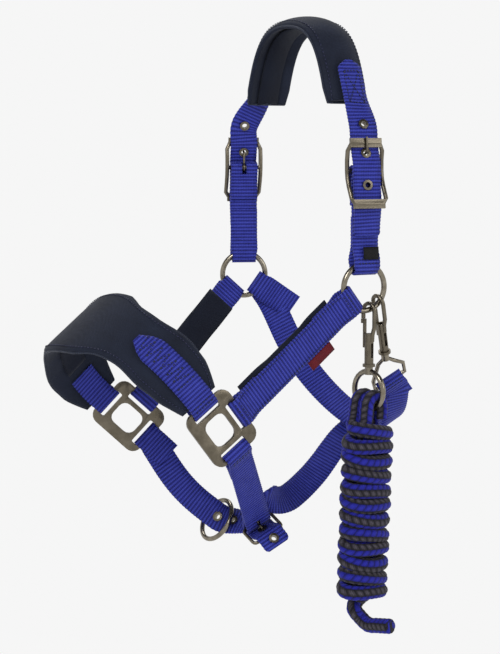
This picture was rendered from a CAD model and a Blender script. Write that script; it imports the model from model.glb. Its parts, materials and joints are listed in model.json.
"""Horse headcollar with a clipped lead rope: webbing, pads, cast fittings and plaited rope.

Metres, +Z up, nose towards -Y, the horse's left (near) side towards +X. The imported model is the
frame: straps, pads and rope follow the same lines as its solids and ride on its bodies.
"""

import json
import math

import bmesh
import bpy
from mathutils import Matrix, Vector


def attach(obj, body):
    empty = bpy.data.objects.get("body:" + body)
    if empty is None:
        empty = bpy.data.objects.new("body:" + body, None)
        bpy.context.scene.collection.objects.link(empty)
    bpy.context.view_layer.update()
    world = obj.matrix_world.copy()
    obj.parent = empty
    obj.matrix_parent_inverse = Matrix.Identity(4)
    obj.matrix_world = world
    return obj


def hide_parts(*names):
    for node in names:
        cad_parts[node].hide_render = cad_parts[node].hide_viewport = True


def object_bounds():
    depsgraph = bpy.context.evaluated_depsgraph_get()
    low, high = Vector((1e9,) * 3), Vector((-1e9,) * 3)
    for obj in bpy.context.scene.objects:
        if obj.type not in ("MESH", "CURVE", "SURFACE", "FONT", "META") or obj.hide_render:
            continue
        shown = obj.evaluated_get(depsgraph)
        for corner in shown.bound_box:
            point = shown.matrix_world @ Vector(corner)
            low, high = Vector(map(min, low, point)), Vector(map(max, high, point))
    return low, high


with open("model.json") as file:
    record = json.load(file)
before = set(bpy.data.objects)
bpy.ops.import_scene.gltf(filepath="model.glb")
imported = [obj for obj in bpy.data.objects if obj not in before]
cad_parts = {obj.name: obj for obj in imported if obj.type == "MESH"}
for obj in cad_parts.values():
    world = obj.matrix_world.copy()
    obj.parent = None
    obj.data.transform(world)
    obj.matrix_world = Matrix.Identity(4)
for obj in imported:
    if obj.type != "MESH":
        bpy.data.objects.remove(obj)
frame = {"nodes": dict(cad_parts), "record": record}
CAD_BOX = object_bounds()
BODY_OF = {
    node: body
    for body, nodes in frame["record"]["behaviour"]["bodies"].items()
    for node in nodes
}

bl_info = {
    "name": "Headcollar maker",
    "version": (1, 0, 0),
    "blender": (4, 5, 0),
    "location": "View3D > Sidebar > Headcollar",
    "description": "Builds a padded webbing headcollar and its lead rope on the packed frame",
    "category": "Object",
}

# Webbing and padding
WEB_W = 0.025
WEB_T = 0.0024
LINING_W = 0.029
LINING_T = 0.0014
LAYER_GAP = 0.0004
TOUCH_GAP = 0.0003
TURN_GAP = 0.0006
# A rib stands this far past the webbing's edge, and a valley falls this far short of it.
RIB_OUT = 0.0004
RIB_IN = 0.0002
VALLEY_SHARE = 0.76
PAD_T = 0.0085
NOSE_PAD_T = 0.0075
CROWN_PAD_W = 0.046
CROWN_CURL = 0.006
CROWN_ROWS = 11
NOSE_ROWS = 16
# A pad is made thinner than its frame, and the filling then swells it by up to the cap.
FOAM_SHARE = 0.86
FILL_CAP = 0.0022
FILL_FRAMES = 20
SEAM_SHARE = 0.46
TUNNEL_W = 0.022
TUNNEL_T = 0.0014
# Cheek rings, chin ring and halter squares
RING_MEAN_R = 0.0205
RING_WIRE_R = 0.0025
CHIN_RING_MEAN_R = 0.0192
CHIN_RING_WIRE_R = 0.0022
SQUARE_T = 0.0032
SLOT_GAP = 0.0066
SQUARE_BAR = 0.0040
WINDOW_W = 0.022
WINDOW_H = 0.026
WINDOW_RIM = 0.0042
# Buckles and eyelets
BUCKLE_WIRE_R = 0.0020
BUCKLE_ABOVE = 0.0237
BUCKLE_BELOW = 0.0298
TONGUE_R = 0.0011
SLOT_PLAY = 0.0022
EYELET_TUBE_R = 0.0031
HOOK_WIRE_R = 0.0019
HOOK_BEND_R = 0.0066
HOOK_RISE = 0.0200
LEAD_RING_MEAN_R = 0.0170
LEAD_RING_WIRE_R = 0.0025
# Rope
ROPE_R = 0.0065
HANK_L = 0.1730
HANK_WALL_R = 0.0195
HANK_CORE_SPAN = 0.0130
# Overall layout
POLL_TO_RING = 0.230
RING_Y = -0.004
RING_X = 0.090
RING_TO_BUCKLE = 0.102
CROWN_HALF_SPAN = 0.069
CROWN_PAD_DROP = 0.076
SQUARE_X = 0.082
CHEEK_LENGTH = 0.1870
NOSE_ARCH_RISE = 0.122
NOSE_ARCH_REACH = 0.050
UP = Vector((0, 0, 1))
SIDE_X = Vector((1, 0, 0))

# ---------------------------------------------------------------- materials


def linear(hex_colour):
    """An sRGB hex colour as linear RGBA."""
    found = []
    for i in (1, 3, 5):
        c = int(hex_colour[i:i + 2], 16) / 255
        found.append(c / 12.92 if c <= 0.04045 else ((c + 0.055) / 1.055) ** 2.4)
    return (*found, 1.0)


def add(tree, kind, inputs=None, **settings):
    """One node with its settings; an input is either a value or another node's output."""
    node = tree.nodes.new(kind)
    for key, value in settings.items():
        setattr(node, key, value)
    for socket, value in (inputs or {}).items():
        if isinstance(value, bpy.types.NodeSocket):
            tree.links.new(value, node.inputs[socket])
        else:
            node.inputs[socket].default_value = value
    return node


def math_of(tree, operation, *values):
    return add(tree, "ShaderNodeMath", dict(enumerate(values)), operation=operation).outputs[0]


def blank(name):
    """A new material and its cleared node tree."""
    made = bpy.data.materials.new(name)
    made.use_nodes = True
    made.node_tree.nodes.clear()
    return made, made.node_tree


def surface(tree, colour, roughness, height=None, depth=0.0002, **constants):
    """The Principled surface and its bump; constants are set on its own sockets."""
    shader = add(tree, "ShaderNodeBsdfPrincipled", {"Base Color": colour, "Roughness": roughness})
    for socket, value in constants.items():
        shader.inputs[socket.replace("_", " ")].default_value = value
    if height is not None:
        bump = add(tree, "ShaderNodeBump", {"Height": height, "Distance": depth, "Strength": 1.0})
        tree.links.new(bump.outputs["Normal"], shader.inputs["Normal"])
    output = add(tree, "ShaderNodeOutputMaterial")
    tree.links.new(shader.outputs[0], output.inputs["Surface"])
    return shader


def ramp(tree, factor, *stops):
    """A colour ramp through (position, hex colour) stops."""
    node = add(tree, "ShaderNodeValToRGB", {"Fac": factor})
    bar = node.color_ramp
    while len(bar.elements) < len(stops):
        bar.elements.new(0.5)
    for element, (position, colour) in zip(bar.elements, stops):
        element.position = position
        element.color = linear(colour)
    return node.outputs["Color"]


def uv_parts(tree):
    coords = add(tree, "ShaderNodeTexCoord").outputs["UV"]
    parts = add(tree, "ShaderNodeSeparateXYZ", {"Vector": coords})
    return parts.outputs["X"], parts.outputs["Y"]


def wave_on(tree, value, pitch):
    """0 to 1 and back once in each pitch, highest at 0."""
    turned = math_of(tree, "COSINE", math_of(tree, "MULTIPLY", value, 2 * math.pi / pitch))
    return math_of(tree, "MULTIPLY_ADD", turned, 0.5, 0.5)


def noise_on(tree, scale, detail=3.0, roughness=0.55, coords=None):
    coords = coords or add(tree, "ShaderNodeTexCoord").outputs["Object"]
    node = add(tree, "ShaderNodeTexNoise",
               {"Vector": coords, "Scale": scale, "Detail": detail, "Roughness": roughness})
    return node.outputs["Fac"]


def varied(tree, tone, noise, amount):
    """A tone raised and lowered by a noise that averages a half."""
    return math_of(tree, "MULTIPLY_ADD", math_of(tree, "SUBTRACT", noise, 0.5), amount, tone)


def webbing_material(colours):
    # Woven polypropylene: matt, with a raised weft rib at each rib pitch and finer yarns across it.
    made, tree = blank("webbing_polypropylene")
    sizes = bpy.context.scene.headcollar_sizes
    u, v = uv_parts(tree)
    rib = wave_on(tree, u, sizes.rib_pitch)
    yarn = wave_on(tree, v, 0.0016)
    lean = wave_on(tree, math_of(tree, "MULTIPLY_ADD", v, 0.5, u), 0.0016)
    worn = noise_on(tree, 90, 4.0)
    fuzz = noise_on(tree, 900, 2.0)
    weave = math_of(tree, "MULTIPLY_ADD", yarn, 0.22, math_of(tree, "MULTIPLY", rib, 0.62))
    weave = math_of(tree, "MULTIPLY_ADD", lean, 0.10, weave)
    tone = varied(tree, weave, worn, 0.35)
    tone = varied(tree, tone, fuzz, 0.25)
    colour = ramp(tree, tone, (0.0, colours.webbing_shade), (0.42, colours.webbing),
                  (0.95, colours.webbing_light))
    height = math_of(tree, "MULTIPLY_ADD", fuzz, 0.15, weave)
    surface(tree, colour, 0.62, height, 0.0005, Sheen_Weight=0.06, Sheen_Roughness=0.45,
            Specular_IOR_Level=0.2)
    return made


def pad_material(name, shade, middle, scale=1.0):
    # Brushed nylon over foam: deep navy, matt, with a fine 1.1 mm twill and soft creasing.
    made, tree = blank(name)
    coords = add(tree, "ShaderNodeTexCoord").outputs["Object"]
    parts = add(tree, "ShaderNodeSeparateXYZ", {"Vector": coords})
    skew = math_of(tree, "ADD", parts.outputs["X"], parts.outputs["Z"])
    other = math_of(tree, "SUBTRACT", parts.outputs["Z"], parts.outputs["Y"])
    twill = math_of(tree, "MULTIPLY", wave_on(tree, skew, 0.0011 * scale),
                    wave_on(tree, other, 0.0011 * scale))
    cloud = noise_on(tree, 38, 5.0)
    fibre = noise_on(tree, 700, 3.0)
    tone = math_of(tree, "MULTIPLY_ADD", cloud, 0.55, math_of(tree, "MULTIPLY", fibre, 0.30))
    tone = math_of(tree, "MULTIPLY_ADD", twill, 0.15, tone)
    colour = ramp(tree, tone, (0.22, shade), (0.62, middle))
    height = math_of(tree, "MULTIPLY_ADD", twill, 0.4, math_of(tree, "MULTIPLY", fibre, 0.8))
    surface(tree, colour, 0.72, height, 0.00022, Sheen_Weight=0.05, Sheen_Roughness=0.5,
            Specular_IOR_Level=0.12)
    return made


def tape_material(colours):
    # Ribbed polyester binding tape: a little paler and shinier than the pad that it edges.
    made, tree = blank("binding_tape")
    u, _ = uv_parts(tree)
    rib = wave_on(tree, u, 0.0018)
    tone = math_of(tree, "MULTIPLY_ADD", noise_on(tree, 300), 0.5,
                   math_of(tree, "MULTIPLY", rib, 0.5))
    colour = ramp(tree, tone, (0.1, colours.pad_shade), (0.8, colours.piping))
    surface(tree, colour, 0.6, rib, 0.0002, Sheen_Weight=0.05, Specular_IOR_Level=0.2)
    return made


def thread_material(colours):
    # Bonded polyester thread: smooth twisted filaments with a slight shine.
    made, tree = blank("sewing_thread")
    twist = noise_on(tree, 1500, 1.0)
    colour = ramp(tree, twist, (0.3, colours.thread_shade), (0.7, colours.thread))
    surface(tree, colour, 0.48, twist, 0.0001, Specular_IOR_Level=0.4)
    return made


def cast_material(colours):
    # Die-cast zinc with a gunmetal nickel plate: satin, with faint pitting and rubbed patches.
    made, tree = blank("gunmetal_plated_zinc")
    cloud = noise_on(tree, 120, 4.0)
    pits = noise_on(tree, 1400, 2.0)
    colour = ramp(tree, cloud, (0.2, colours.cast_shade), (0.55, colours.cast),
                  (0.95, colours.cast_light))
    rough = add(tree, "ShaderNodeMapRange",
                {"Value": cloud, "From Min": 0.3, "From Max": 0.7, "To Min": 0.24, "To Max": 0.42})
    surface(tree, colour, rough.outputs[0], pits, 0.00006, Metallic=1.0)
    return made


def wire_material(colours):
    # Nickel-plated steel wire: bright and smooth, with fine drawing scratches and dulled spots.
    made, tree = blank("nickel_plated_wire")
    coords = add(tree, "ShaderNodeTexCoord").outputs["Object"]
    stretched = add(tree, "ShaderNodeMapping", {"Vector": coords, "Scale": (900, 900, 180)})
    scratch = noise_on(tree, 1.0, 3.0, coords=stretched.outputs[0])
    cloud = noise_on(tree, 160, 3.0)
    colour = ramp(tree, cloud, (0.3, colours.wire_shade), (0.7, colours.wire))
    rough = add(tree, "ShaderNodeMapRange",
                {"Value": scratch, "From Min": 0.3, "From Max": 0.7, "To Min": 0.16, "To Max": 0.3})
    surface(tree, colour, rough.outputs[0], scratch, 0.00003, Metallic=1.0)
    return made


def rope_material(colours):
    # Plaited polypropylene rope: royal blue strands crossed by charcoal ones, in soft yarns.
    made, tree = blank("rope_plaited")
    sizes = bpy.context.scene.headcollar_sizes
    u, turn = uv_parts(tree)
    rows = math_of(tree, "MULTIPLY", turn, float(PLAIT_ROWS))
    inside = math_of(tree, "FRACT", rows)
    odd = math_of(tree, "GREATER_THAN",
                  math_of(tree, "FRACT", math_of(tree, "MULTIPLY", rows, 0.5)), 0.5)
    lean = math_of(tree, "MULTIPLY", inside,
                   math_of(tree, "SUBTRACT", odd, 0.5))
    along = math_of(tree, "ADD", math_of(tree, "DIVIDE", u, sizes.plait_length), lean)
    # Each stitch of the plait is a bulge between two creases, made of four fine yarns.
    bulge = math_of(tree, "ABSOLUTE",
                    math_of(tree, "SINE", math_of(tree, "MULTIPLY", along, math.pi)))
    round_row = math_of(tree, "SINE", math_of(tree, "MULTIPLY", inside, math.pi))
    level = math_of(tree, "POWER", math_of(tree, "MULTIPLY", bulge, round_row), 0.5)
    yarn = math_of(tree, "SINE", math_of(tree, "MULTIPLY", along, 8 * math.pi))
    fuzz = noise_on(tree, 800, 3.0)
    tone = math_of(tree, "MULTIPLY_ADD", level, 0.72, 0.06)
    tone = math_of(tree, "MULTIPLY_ADD", yarn, 0.07, tone)
    tone = varied(tree, tone, fuzz, 0.5)
    blue = ramp(tree, tone, (0.08, "#0b0c33"), (0.55, colours.rope_blue),
                (0.98, "#2b2ea0"))
    dark = ramp(tree, tone, (0.08, "#0a0a0d"), (0.55, colours.rope_dark), (0.98, "#56525c"))
    colour = add(tree, "ShaderNodeMix", {0: odd, 6: dark, 7: blue}, data_type="RGBA")
    height = math_of(tree, "MULTIPLY_ADD", yarn, 0.15, level)
    height = math_of(tree, "MULTIPLY_ADD", fuzz, 0.3, height)
    surface(tree, colour.outputs[2], 0.75, height, 0.0004, Sheen_Weight=0.06, Sheen_Roughness=0.5,
            Specular_IOR_Level=0.15)
    return made


def tag_material(name, shade, middle):
    # Woven satin tag: close warp lines every 0.8 mm, a little shiny along them.
    made, tree = blank(name)
    u, v = uv_parts(tree)
    warp = wave_on(tree, v, 0.0008)
    weft = wave_on(tree, u, 0.0012)
    tone = math_of(tree, "MULTIPLY_ADD", noise_on(tree, 260), 0.6,
                   math_of(tree, "MULTIPLY", math_of(tree, "MULTIPLY", warp, weft), 0.4))
    colour = ramp(tree, tone, (0.15, shade), (0.7, middle))
    surface(tree, colour, 0.55, warp, 0.00012, Sheen_Weight=0.03, Specular_IOR_Level=0.15)
    return made


def material(name):
    return bpy.data.materials[name]


def heading(degrees):
    """A level unit vector, turned from +X towards +Y."""
    return Vector((math.cos(math.radians(degrees)), math.sin(math.radians(degrees)), 0))


def placement(origin, across, along):
    """A placement whose x axis is across, y axis is along and z axis is their normal."""
    x = across.normalized()
    z = x.cross(along).normalized()
    y = z.cross(x)
    placed = Matrix((x, y, z)).transposed().to_4x4()
    placed.translation = origin
    return placed


def level_part(vector, normal):
    return (vector - normal * vector.dot(normal)).normalized()


def at_ring(x, y, z):
    """A point given in millimetres from the middle of the line between the cheek rings."""
    return Vector((x * 0.001, RING_Y + y * 0.001, z * 0.001 - POLL_TO_RING))


def rod(start, end, radius, segments):
    """A closed cylinder between two points."""
    bm = bmesh.new()
    length = (end - start).length
    bmesh.ops.create_cone(
        bm, cap_ends=True, segments=segments, radius1=radius, radius2=radius, depth=length
    )
    turn = UP.rotation_difference(end - start).to_matrix().to_4x4()
    turn.translation = (start + end) / 2
    bm.transform(turn)
    return bm


def block(size, centre):
    bm = bmesh.new()
    bmesh.ops.create_cube(bm, size=1)
    bmesh.ops.scale(bm, vec=size, verts=bm.verts)
    bmesh.ops.translate(bm, vec=centre, verts=bm.verts)
    return bm


def smooth_curve(points, count):
    """Points along a Catmull-Rom curve through the given points, at even parameter steps."""
    ends = [points[0] * 2 - points[1], *points, points[-1] * 2 - points[-2]]
    spans = len(points) - 1
    found = []
    for step in range(count + 1):
        whole, t = divmod(step * spans / count, 1.0)
        i = min(int(whole), spans - 1)
        t += whole - i
        a, b, c, d = ends[i : i + 4]
        found.append(
            (b * 2 + (c - a) * t + (a * 2 - b * 5 + c * 4 - d) * t * t
             + (b * 3 - a - c * 3 + d) * t * t * t) / 2
        )
    return found


def bezier(a, b, c, d, t):
    s = 1 - t
    return a * s**3 + b * 3 * s * s * t + c * 3 * s * t * t + d * t**3


def smooth_step(t):
    t = min(max(t, 0), 1)
    return t * t * (3 - 2 * t)


def wrap(centre, pull, out, radius, straight, tab, spread, join=0.013):
    """A webbing end folded round a bar, from the tab's end to where it runs free."""
    flat = [(tab, -spread), ((straight + join + tab) / 2, -spread), (straight + join, -spread)]
    if straight:
        flat.append((straight, -radius))
    for step in range(9):
        turn = math.radians(-90 + 22.5 * step)
        flat.append((-radius * math.cos(turn), radius * math.sin(turn)))
    if straight:
        flat.append((straight, radius))
    flat.append((straight + join, spread))
    return [centre + pull * u + out * v for u, v in flat]


def stations_of(points, across, width, out):
    return [(point, across, width, out) for point in points]


def free_run(points, outs, width):
    """Stations along points, square to the run and facing along outs."""
    found = []
    for i, (point, out) in enumerate(zip(points, outs)):
        run = points[min(i + 1, len(points) - 1)] - points[max(i - 1, 0)]
        across = run.cross(out).normalized()
        found.append((point, across, width, across.cross(run).normalized()))
    return found


def blend_directions(start, end, count):
    return [start.lerp(end, smooth_step(i / count)).normalized() for i in range(count + 1)]


LAYER = WEB_T / 2 + LAYER_GAP / 2
BAR_TURN_R = BUCKLE_WIRE_R + TURN_GAP + WEB_T / 2
SQUARE_TURN_R = math.hypot(SQUARE_BAR / 2, SQUARE_T / 2) + TURN_GAP + WEB_T / 2
# Where webbing turns round a ring it bunches a little, and the fold clears the curving wire.
RING_FOLD_W = 0.0220
RING_FOLD = math.sqrt(RING_MEAN_R**2 - (RING_FOLD_W / 2) ** 2)
RING_TURN_R = RING_WIRE_R * RING_MEAN_R / RING_FOLD + TURN_GAP * 1.6 + WEB_T / 2
RING_STRAIGHT = RING_MEAN_R - RING_FOLD + 0.003


def fold_at_ring(side, target, tab):
    """Stations of webbing folded round a cheek ring, from the tab to where it runs free."""
    in_plane = level_part(target - side.ring, side.ring_out)
    centre = side.ring + in_plane * RING_FOLD
    pull = (target - centre).normalized()
    out = level_part(side.ring_out, pull)
    centre += out * (in_plane.dot(out) * (RING_MEAN_R - RING_FOLD) / 2)
    points = wrap(centre, pull, out, RING_TURN_R, RING_STRAIGHT, tab, LAYER)
    across = pull.cross(out)
    last = len(points) - 1
    found = []
    for i, point in enumerate(points):
        width = RING_FOLD_W if 3 < i < last - 2 else WEB_W
        found.append((point, across, width, out))
    return found


def band_run(points, ways, width):
    """Stations along points whose width lies as nearly as it can along the given ways."""
    found = []
    for i, (point, way) in enumerate(zip(points, ways)):
        run = (points[min(i + 1, len(points) - 1)] - points[max(i - 1, 0)]).normalized()
        across = level_part(way, run)
        found.append((point, across, width, across.cross(run)))
    return found


class Side:
    """One side of the headcollar: +1 near, -1 far, with the way each fitting faces."""

    def __init__(self, name, sign, ring_turn, buckle_turn, square_turn):
        self.name = name
        self.sign = sign
        self.ring = Vector((sign * RING_X, RING_Y, -POLL_TO_RING))
        self.ring_out = heading(ring_turn) * sign
        self.ring_back = level_part(Vector((0, 1, 0)), self.ring_out)
        self.buckle_out = heading(buckle_turn) * sign
        self.square_face = heading(square_turn)
        self.square_out = self.square_face * sign


NEAR = Side("near", 1, -9, -18, -9)
FAR = Side("far", -1, -30, -28, -30)
SIDES = (NEAR, FAR)
# The noseband is a loop that leans forward, and hangs a few degrees lower on the far side.
NOSE_SLOPE = math.radians(37)
NOSE_ROLL = math.radians(6)
NOSE_MIDDLE = at_ring(0, -148, -122.5)
NOSE_BACK = Vector((0, math.cos(NOSE_SLOPE), math.sin(NOSE_SLOPE)))
NOSE_RISE = Vector((0, -math.sin(NOSE_SLOPE), math.cos(NOSE_SLOPE)))
NOSE_ACROSS = SIDE_X * math.cos(NOSE_ROLL) + NOSE_RISE * math.sin(NOSE_ROLL)
NOSE_UP = NOSE_RISE * math.cos(NOSE_ROLL) - SIDE_X * math.sin(NOSE_ROLL)
SLOT_AT = WINDOW_H / 2 + WINDOW_RIM
BAR_AT = SLOT_AT + SLOT_GAP + SQUARE_BAR / 2
CHEEK_SLOT_AT = WINDOW_W / 2 + WINDOW_RIM
CHEEK_BAR_AT = CHEEK_SLOT_AT + SLOT_GAP + SQUARE_BAR / 2
for side in SIDES:
    towards = (NOSE_MIDDLE + NOSE_ACROSS * (side.sign * SQUARE_X) - side.ring).normalized()
    side.square = side.ring + towards * CHEEK_LENGTH
    side.to_ring = level_part(-towards, side.square_face)
    side.to_nose = side.square_face.cross(side.to_ring)
    side.place_square = placement(side.square, side.to_ring, side.to_nose)
BILLET_OVER_BAR = BAR_TURN_R + WEB_T + LAYER_GAP
BILLET_BELOW = LAYER + WEB_T + 0.0011
BILLET_AT_TOP = 0.0020


def spaced(stations, spacing):
    """The same band with its stations at an even spacing, on a smooth line through its centres."""
    centres = [station[0] for station in stations]
    gaps = [max((b - a).length, 1e-6) for a, b in zip(centres, centres[1:])]
    slopes = [(b - a) / gap for a, b, gap in zip(centres, centres[1:], gaps)]
    ways = [slopes[0]]
    for i in range(1, len(slopes)):
        total = gaps[i - 1] + gaps[i]
        ways.append((slopes[i - 1] * gaps[i] + slopes[i] * gaps[i - 1]) / total)
    ways.append(slopes[-1])
    fine = []
    for i, gap in enumerate(gaps):
        steps = max(2, round(gap / 0.0008))
        for step in range(steps):
            t = step / steps
            s = 1 - t
            centre = (
                centres[i] * (s * s * (1 + 2 * t)) + centres[i + 1] * (t * t * (3 - 2 * t))
                + ways[i] * (gap * t * s * s) - ways[i + 1] * (gap * t * t * s)
            )
            a, b = stations[i], stations[i + 1]
            fine.append((centre, a[1].lerp(b[1], t).normalized(), a[2] * s + b[2] * t,
                         a[3].lerp(b[3], t).normalized()))
    fine.append(stations[-1])
    walked = [0.0]
    for a, b in zip(fine, fine[1:]):
        walked.append(walked[-1] + (b[0] - a[0]).length)
    count = max(2, round(walked[-1] / spacing))
    found, j = [], 0
    for i in range(count + 1):
        aim = walked[-1] * i / count
        while j < len(walked) - 2 and walked[j + 1] < aim:
            j += 1
        t = (aim - walked[j]) / max(walked[j + 1] - walked[j], 1e-9)
        a, b = fine[j], fine[j + 1]
        found.append((a[0].lerp(b[0], t), a[1].lerp(b[1], t).normalized(),
                      a[2] * (1 - t) + b[2] * t, a[3].lerp(b[3], t).normalized()))
    return found, walked[-1]


def eased(stations, first, last, rounds=10):
    """Takes the sharp turns out of a strap's free run between two of its stations."""
    centres = [station[0].copy() for station in stations]
    ways = [station[1].copy() for station in stations]
    for _ in range(rounds):
        for line in (centres, ways):
            old = [v.copy() for v in line]
            for i in range(first, last):
                line[i] = old[i] * 0.5 + (old[i - 1] + old[i + 1]) * 0.25
    return [(c, w.normalized(), s[2], s[3]) for c, w, s in zip(centres, ways, stations)]


def finished(name, bm, finish):
    """A mesh object in the scene with its material and smooth faces."""
    mesh = bpy.data.meshes.new(name)
    for face in bm.faces:
        face.smooth = True
    bm.to_mesh(mesh)
    bm.free()
    obj = bpy.data.objects.new(name, mesh)
    bpy.context.scene.collection.objects.link(obj)
    mesh.materials.append(finish)
    return obj


def freeze(obj):
    """Gives the object the mesh that its modifiers make, and leaves no modifier on it."""
    graph = bpy.context.evaluated_depsgraph_get()
    mesh = bpy.data.meshes.new_from_object(obj.evaluated_get(graph))
    obj.modifiers.clear()
    obj.data = mesh
    return obj


def stand_in(obj, *nodes):
    """Puts a finished piece on the body of the CAD nodes that it stands for."""
    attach(obj, BODY_OF[nodes[0]])
    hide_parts(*nodes)
    return obj


def grid_on(rows, columns):
    """A flat grid of rows and columns whose vertices come row by row, with an empty UV map."""
    bm = bmesh.new()
    bm.loops.layers.uv.new("UVMap")
    bmesh.ops.create_grid(bm, x_segments=columns, y_segments=rows, size=0.5, calc_uvs=True)
    bm.verts.ensure_lookup_table()
    return bm


def lay_uvs(bm, columns, along, across):
    """UVs in metres: along(row) down the length and across(row, column) over the width."""
    layer = bm.loops.layers.uv.active
    for face in bm.faces:
        for loop in face.loops:
            row, column = divmod(loop.vert.index, columns + 1)
            loop[layer].uv = (along(row), across(row, column))


BANDS = {}


def strip(name, stations, thickness, finish, columns=4, crown=0.0):
    """A band of even thickness with UVs in metres; webbing gets its crosswise ribs as relief."""
    sizes = bpy.context.scene.headcollar_sizes
    ribbed = finish.name.startswith("webbing")
    spacing = sizes.rib_pitch / 2 if ribbed else 0.004
    rows, length = spaced(stations, spacing)
    BANDS[name] = (rows, length, thickness, crown)
    bm = grid_on(len(rows) - 1, columns)
    for row, (centre, across, width, out) in enumerate(rows):
        if ribbed:
            width += RIB_OUT if row % 2 == 0 else -RIB_IN
        for column in range(columns + 1):
            side = 2 * column / columns - 1
            bm.verts[row * (columns + 1) + column].co = (
                centre + across * (width * side / 2) - out * (crown * side * side)
            )
    lay_uvs(bm, columns, lambda row: row * length / (len(rows) - 1),
            lambda row, column: rows[row][2] * (column / columns - 0.5))
    obj = finished(name + "_cloth", bm, finish)
    wall = obj.modifiers.new("wall", "SOLIDIFY")
    wall.thickness = thickness
    wall.offset = 0
    if ribbed:
        ridges = obj.vertex_groups.new(name="ridges")
        every = range(0, len(rows), 2)
        ridges.add([r * (columns + 1) + c for r in every for c in range(columns + 1)], 1, "ADD")
        wall.vertex_group = ridges.name
        wall.thickness_vertex_group = VALLEY_SHARE
    return obj


def webbing(name, stations):
    return strip(name, stations, WEB_T, material("webbing_polypropylene"))


TOOLS = []


def cut(obj, bm, place=None):
    """Marks a shape to be cut out of a piece when it is made up."""
    if place:
        bm.transform(place)
    tool = finished("cutter", bm, obj.data.materials[0])
    modifier = obj.modifiers.new("cut", "BOOLEAN")
    modifier.operation = "DIFFERENCE"
    modifier.object = tool
    TOOLS.append(tool)


def eyelet_hole(obj, centre, out, thickness):
    hole = rod(-out * thickness * 2, out * thickness * 2, EYELET_TUBE_R + TOUCH_GAP, 20)
    bmesh.ops.translate(hole, vec=centre, verts=hole.verts)
    cut(obj, hole)


def made_up(obj):
    """Ends a strap: its cuts are made, and it takes the place of its CAD node on that body."""
    freeze(obj)
    while TOOLS:
        bpy.data.objects.remove(TOOLS.pop())
    return stand_in(obj, obj.name.removesuffix("_cloth"))


def soft(obj):
    """Ends a stuffed pad."""
    stand_in(obj, obj.name.removesuffix("_cloth"))
    return obj


def spot(name, along, across, lift=0.0):
    """A point on a band's outer face: metres from its start and from its centre line."""
    rows, length, thickness, crown = BANDS[name]
    step = min(max(along / length, 0), 1) * (len(rows) - 1)
    i = min(int(step), len(rows) - 2)
    t = step - i
    a, b = rows[i], rows[i + 1]
    out = a[3].lerp(b[3], t).normalized()
    rise = thickness / 2 + lift - crown * (2 * across / (a[2] * (1 - t) + b[2] * t)) ** 2
    return a[0].lerp(b[0], t) + a[1].lerp(b[1], t) * across + out * rise, out


# ---------------------------------------------------------------- straps


def crown_point(t, sign):
    """The arch of the crown pad's middle layer, from the poll at t=0 to the pad's end at t=1."""
    top = Vector((0, 0, PAD_T / 2 + TUNNEL_T + TOUCH_GAP))
    end = Vector((sign * (CROWN_HALF_SPAN - PAD_T / 2), 0, -CROWN_PAD_DROP + PAD_T))
    reach = Vector((sign * 0.041, 0, 0))
    lift = Vector((-sign * 0.012, 0, 0.050))
    return bezier(top, top + reach, end + lift, end, t)


def crown_station(t, sign, offset, width):
    step = 0.01
    low, high = max(t - step, 0), min(t + step, 1)
    run = (crown_point(high, sign) - crown_point(low, sign)).normalized()
    out = Vector((-run.z * sign, 0, run.x * sign))
    return (crown_point(t, sign) + out * offset, Vector((0, 1, 0)), width, out)


def crown_arch(offset, width_at, rows):
    far = [crown_station(i / rows, -1, offset, width_at(i / rows)) for i in range(rows, 0, -1)]
    near = [crown_station(i / rows, 1, offset, width_at(i / rows)) for i in range(rows + 1)]
    return far + near


def crown_pad():
    def width_at(t):
        return CROWN_PAD_W * (0.9 if t > 0.99 else 1.0)

    obj = pad("crown_pad", crown_arch(0, width_at, CROWN_ROWS), PAD_T * FOAM_SHARE, 8, CROWN_CURL,
              material("pad_nylon"))
    piping("crown_pad_piping", "crown_pad", CROWN_CURL)
    return soft(obj)


def crown_tunnel():
    inside = -(PAD_T / 2 + TOUCH_GAP + TUNNEL_T / 2)
    return made_up(strip(
        "crown_pad_tunnel", crown_arch(inside, lambda t: TUNNEL_W, CROWN_ROWS), TUNNEL_T,
        material("lining_fleece"), columns=2,
        crown=CROWN_CURL * (TUNNEL_W / CROWN_PAD_W) ** 2 + 0.0006,
    ))


def buckle_place(side):
    """The buckle's frame: x across the strap, y up it and z outwards, on the centre bar."""
    origin = side.ring + Vector((0, 0, RING_TO_BUCKLE)) - side.ring_out * 0.001
    out = side.buckle_out
    along = (UP - out * 0.13).normalized()
    return placement(origin, along.cross(out), along)


def chape_line(side, height):
    """Centre and outward direction of the upper cheek piece, from the ring (0) to the bar (1)."""
    bar = buckle_place(side)
    start = side.ring + UP * (RING_FOLD + RING_STRAIGHT)
    centre = start.lerp(bar.translation, height)
    return centre, side.ring_out.lerp(bar.col[2].xyz, smooth_step(height)).normalized()


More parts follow.
